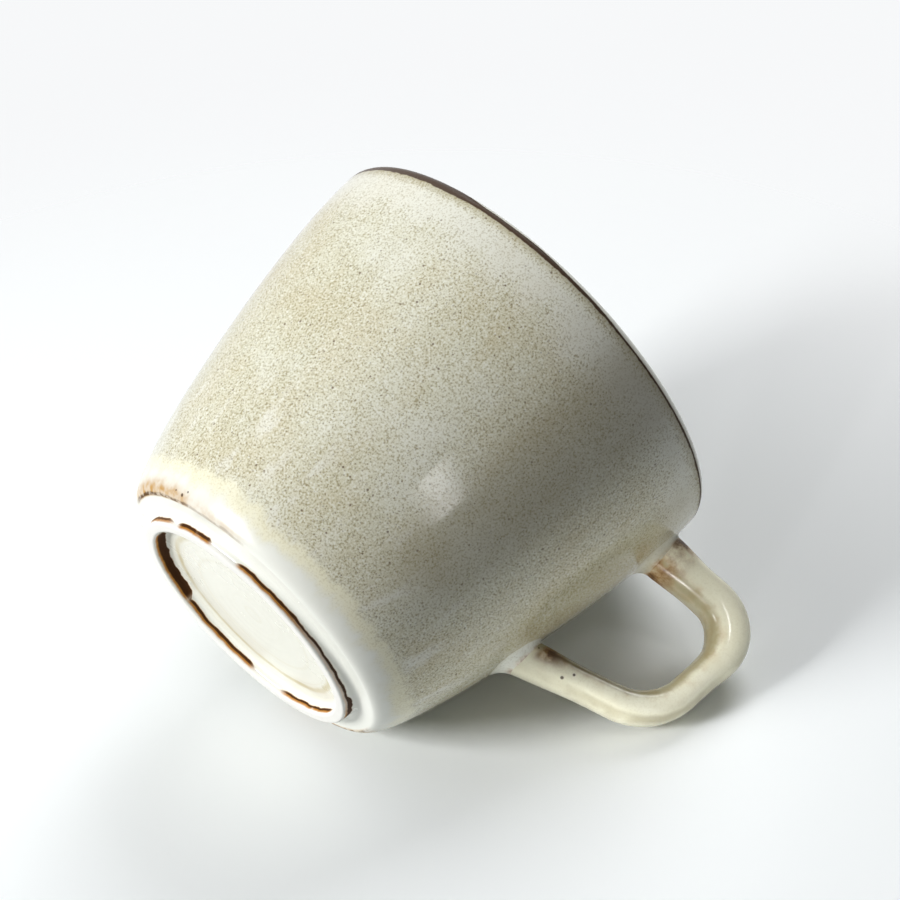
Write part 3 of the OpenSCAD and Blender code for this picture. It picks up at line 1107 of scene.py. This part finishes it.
class CUP_OT_handle(bpy.types.Operator):
    """Sweep the strap handle along its line"""

    bl_idname = "cup.handle"
    bl_label = "Handle"

    SIDES = 96
    FIT = 9 * MM
    UNEVENNESS = 0.07 * MM
    SEED = 4.0

    def execute(self, context):
        sizes = context.scene.cup_handle
        bowl = BowlShape(context.scene.cup_bowl)
        strap = StrapShape(bowl, sizes)
        line = strap.line()
        runs = [0.0]
        for a, b in zip(line, line[1:]):
            runs.append(runs[-1] + (b - a).length)
        points = [(p.x, 0, p.y) for p in line]
        piece = line_piece(
            "strap_handle",
            points,
            {
                "spine": points,
                "thickness": strap.thickness(runs),
                "from_upper": runs,
                "from_lower": [runs[-1] - run for run in runs],
            },
        )
        values = {
            "Sides": self.SIDES,
            "Width": sizes.width,
            "Section Power": sizes.power,
            "Slip": sizes.slip,
            "Fit Length": self.FIT,
            "Unevenness": self.UNEVENNESS,
            "Seed": self.SEED,
            "Material": handle_glaze(context.scene.cup_glaze),
        }
        for end, s, way, _ in strap.ends():
            out = bowl.out(s)
            values[f"{end} Way"] = (way.x, 0, way.y)
            values[f"{end} Wall Out"] = (out.x, 0, out.y)
            values[f"{end} Wall Radius"] = bowl.wall(s).x
        dress(piece, strap_tree(), values)
        place_piece(piece, "handle")
        return {"FINISHED"}


class CUP_OT_slip_joints(bpy.types.Operator):
    """Wipe the slip round both ends of the handle"""

    bl_idname = "cup.slip_joints"
    bl_label = "Slip Joints"

    SIDES = 120
    STEPS = 14
    SINK = 0.07 * MM
    # How much fuller the fillet is below the strap, and how much it wavers, as shares of its width
    FULLER = 0.38
    WAVER = 0.10

    def rings(self, strap, s, way, thickness):
        """Rings from the wall up the fillet to the strap, then down inside it to its end."""
        size = strap.sizes
        levels = shares(self.STEPS) + [1.0]
        angles = [2 * math.pi * t for t in shares(self.SIDES)]
        rows = []
        for level in levels:
            row = []
            for angle in angles:
                lean = self.WAVER * math.sin(3 * angle + 1) - self.FULLER * math.cos(angle)
                run = size.fillet * (1 + lean)
                grow = (run + self.SINK) * (1 - level) ** 2 - self.SINK
                distance = (run + self.SINK) * level**2 - self.SINK
                point = strap.section(thickness, angle, grow)
                row.append(strap.over_wall(s, way, point, distance))
            rows.append(row)
        ends = [strap.section(thickness, angle, -self.SINK) for angle in angles]
        rows.append([strap.over_wall(s, way, point, size.slip) for point in ends])
        return rows, levels + [1.0]

    def solid(self, name, strap, s, way, thickness, material):
        """One closed solid from its rings, with a point in the middle of each end."""
        rows, levels = self.rings(strap, s, way, thickness)
        made = bmesh.new()
        climb = made.verts.layers.float.new("fillet_climb")
        grid = []
        for row, level in zip(rows, levels):
            grid.append([made.verts.new(p) for p in row])
            for vert in grid[-1]:
                vert[climb] = level
        middle = Vector((0, 0))
        floor = made.verts.new(strap.over_wall(s, way, middle, -self.SINK))
        top = made.verts.new(strap.over_wall(s, way, middle, strap.sizes.slip))
        top[climb] = 1.0
        for k in range(self.SIDES):
            n = (k + 1) % self.SIDES
            for low, high in zip(grid, grid[1:]):
                made.faces.new((low[k], low[n], high[n], high[k]))
            made.faces.new((grid[0][n], grid[0][k], floor))
            made.faces.new((grid[-1][k], grid[-1][n], top))
        bmesh.ops.recalc_face_normals(made, faces=made.faces)
        for face in made.faces:
            face.smooth = True
        return add_solid(name, made, material)

    def execute(self, context):
        strap = StrapShape(BowlShape(context.scene.cup_bowl), context.scene.cup_handle)
        glaze = joint_glaze(context.scene.cup_glaze)
        for end, *root in strap.ends():
            name = f"{end.lower()}_slip"
            piece = self.solid(name, strap, *root, glaze)
            place_piece(piece, f"{name}_joint")
        return {"FINISHED"}


class CUP_OT_stage(bpy.types.Operator):
    """Set the table, the lamps, the backdrop and the camera"""

    bl_idname = "cup.stage"
    bl_label = "Stage"

    # The table's radius, and where its fade into the backdrop starts and ends, in metres
    TABLE_R = 0.75
    TABLE_SIDES = 96
    FADE = 0.10
    FADE_END = 0.24
    TABLE_SEEN = (0.92, 0.95, 0.96)
    TABLE_BOUNCE = (0.69, 0.72, 0.73)
    BACKDROP = (0.93, 0.94, 0.95)
    FILL = 0.015
    # Name, direction from its aim, distance, width, height and level of each lamp. At a level of 1,
    # the lamp alone shows a white surface that faces it as white. The softboxes aim at the bowl.
    LAMPS = (
        ("key softbox", (-0.61, -0.33, -0.72), 0.95, 0.30, 0.30, 1.10),
        ("back softbox", (-0.48, -0.33, 0.81), 0.95, 0.60, 0.60, 0.70),
        ("upper softbox", (-0.79, -0.61, -0.08), 0.95, 0.60, 0.60, 0.12),
        ("window", (0.454, -0.884, -0.108), 1.60, 0.62, 0.09, 0.034),
    )
    # Narrow beams on the handle, with one size in place of a width and a height
    HANDLE_SPOTS = (
        ("handle spot", (0.20, -0.46, -0.865), 0.95, 0.06, 1.72),
        ("bend spot", (-0.068, -0.972, 0.227), 0.95, 0.05, 0.075),
    )
    HANDLE_BEAM = math.radians(2.4)
    HANDLE_FADE = 0.6
    # Where the beams aim, as shares of the handle's box outwards and upwards
    HANDLE_AIM = (0.68, 0.62)
    SENSOR = 36

    @staticmethod
    def seen(graph):
        """1 for rays that come from the camera, gloss or a clear body, and 0 for bounced light."""
        path = graph.node("ShaderNodeLightPath")
        rays = ("Is Camera Ray", "Is Glossy Ray", "Is Transmission Ray")
        return graph.most(*[path.out(ray) for ray in rays])

    def table_material(self):
        """A pale table that keeps the shadow, is clear from behind and ends in the backdrop."""
        material = bpy.data.materials.new("pale table")
        graph = Graph(empty_tree(material))
        white = graph.tint(self.seen(graph), self.TABLE_BOUNCE, self.TABLE_SEEN)
        lit = graph.node("ShaderNodeBsdfDiffuse", {"Color": white})
        clear = graph.node("ShaderNodeBsdfTransparent")
        place = graph.node("ShaderNodeTexCoord").out("Object")
        x, y, _ = graph.parts(place)
        far = graph.step((x * x + y * y) ** 0.5, self.FADE, self.FADE_END)
        behind = graph.node("ShaderNodeNewGeometry").out("Backfacing")
        gone = graph.most(far, behind)
        shown = graph.node("ShaderNodeMixShader", {0: gone, 1: lit, 2: clear})
        graph.node("ShaderNodeOutputMaterial", {"Surface": shown})
        return material

    def table(self, settings):
        """A round table top in the plane that the lying cup rests on."""
        made = bmesh.new()
        sides = self.TABLE_SIDES
        bmesh.ops.create_circle(made, cap_ends=True, segments=sides, radius=self.TABLE_R)
        table = add_solid("table", made, self.table_material())
        up = Vector(settings.table_up).normalized()
        turn = up.to_track_quat("Z", "Y").to_matrix().to_4x4()
        table.matrix_world = Matrix.Translation(up * -settings.table_drop) @ turn

    def softbox(self, name, way, distance, width, height, level, aim):
        """A softbox that points at its aim."""
        data = bpy.data.lights.new(name, "AREA")
        data.shape = "RECTANGLE"
        data.size = width
        data.size_y = height
        data.energy = level * (math.pi * distance) ** 2
        self.hang(data, way, distance, aim)

    def spot(self, name, way, distance, size, level, aim):
        """A narrow soft beam that points at its aim."""
        data = bpy.data.lights.new(name, "SPOT")
        data.shadow_soft_size = size / 2
        data.spot_size = self.HANDLE_BEAM
        data.spot_blend = self.HANDLE_FADE
        data.energy = level * (2 * math.pi * distance) ** 2
        self.hang(data, way, distance, aim)

    def hang(self, data, way, distance, aim):
        """Hangs a lamp at a distance from its aim."""
        lamp = add_object(data.name, data)
        back = Vector(way).normalized()
        lamp.location = aim + back * distance
        lamp.rotation_euler = (-back).to_track_quat("-Z", "Y").to_euler()

    def backdrop(self):
        """A plain fill light, which looks white to the camera and in reflections."""
        world = bpy.data.worlds.new("backdrop")
        graph = Graph(empty_tree(world))
        fill = graph.node("ShaderNodeBackground", {"Color": (1, 1, 1), "Strength": self.FILL})
        white = graph.node("ShaderNodeBackground", {"Color": self.BACKDROP, "Strength": 1.0})
        shown = graph.node("ShaderNodeMixShader", {0: self.seen(graph), 1: fill, 2: white})
        graph.node("ShaderNodeOutputWorld", {"Surface": shown})
        bpy.context.scene.world = world

    def camera(self, settings):
        """A long lens that sees the lying cup from a little above the table."""
        data = bpy.data.cameras.new("camera")
        data.sensor_width = self.SENSOR
        data.lens = settings.lens
        camera = add_object("camera", data)
        place = Vector(settings.camera_place)
        back = (place - Vector(settings.camera_aim)).normalized()
        right = Vector(settings.camera_up).cross(back).normalized()
        turn = Matrix((right, back.cross(right), back)).transposed()
        camera.matrix_world = Matrix.Translation(place) @ turn.to_4x4()
        bpy.context.scene.camera = camera

    def execute(self, context):
        settings = context.scene.cup_stage
        self.camera(settings)
        self.table(settings)
        low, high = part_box("cup_body")
        for lamp in self.LAMPS:
            self.softbox(*lamp, (low + high) / 2)
        low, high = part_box("handle")
        out, up = self.HANDLE_AIM
        aim = Vector((blend(low.x, high.x, out), 0, blend(low.z, high.z, up)))
        for lamp in self.HANDLE_SPOTS:
            self.spot(*lamp, aim)
        self.backdrop()
        context.scene.view_settings.view_transform = "Standard"
        return {"FINISHED"}


class CUP_PT_panel(bpy.types.Panel):
    """The cup's pieces and sizes in the sidebar"""

    bl_idname = "CUP_PT_panel"
    bl_label = "Cappuccino Cup"
    bl_space_type = "VIEW_3D"
    bl_region_type = "UI"
    bl_category = "Cup"

    def draw(self, context):
        layout = self.layout
        for operator in OPERATORS:
            layout.operator(operator.bl_idname)
        for name, group in GROUPS.items():
            box = layout.box()
            box.label(text=group.__doc__)
            for setting in group.__annotations__:
                box.prop(getattr(context.scene, name), setting)


GROUPS = {
    "cup_bowl": CupBowlSizes,
    "cup_handle": CupHandleSizes,
    "cup_glaze": CupGlazeColours,
    "cup_stage": CupStageSettings,
}
OPERATORS = (CUP_OT_stage, CUP_OT_bowl, CUP_OT_handle, CUP_OT_slip_joints)
CLASSES = (*GROUPS.values(), *OPERATORS, CUP_PT_panel)


def register():
    for cls in CLASSES:
        bpy.utils.register_class(cls)
    for name, group in GROUPS.items():
        setattr(bpy.types.Scene, name, bpy.props.PointerProperty(type=group))


def unregister():
    for name in GROUPS:
        delattr(bpy.types.Scene, name)
    for cls in reversed(CLASSES):
        bpy.utils.unregister_class(cls)


def main():
    """Builds the stage and the cup."""
    register()
    bpy.ops.cup.stage()
    bpy.ops.cup.bowl()
    bpy.ops.cup.handle()
    bpy.ops.cup.slip_joints()


if __name__ == "__main__":
    main()
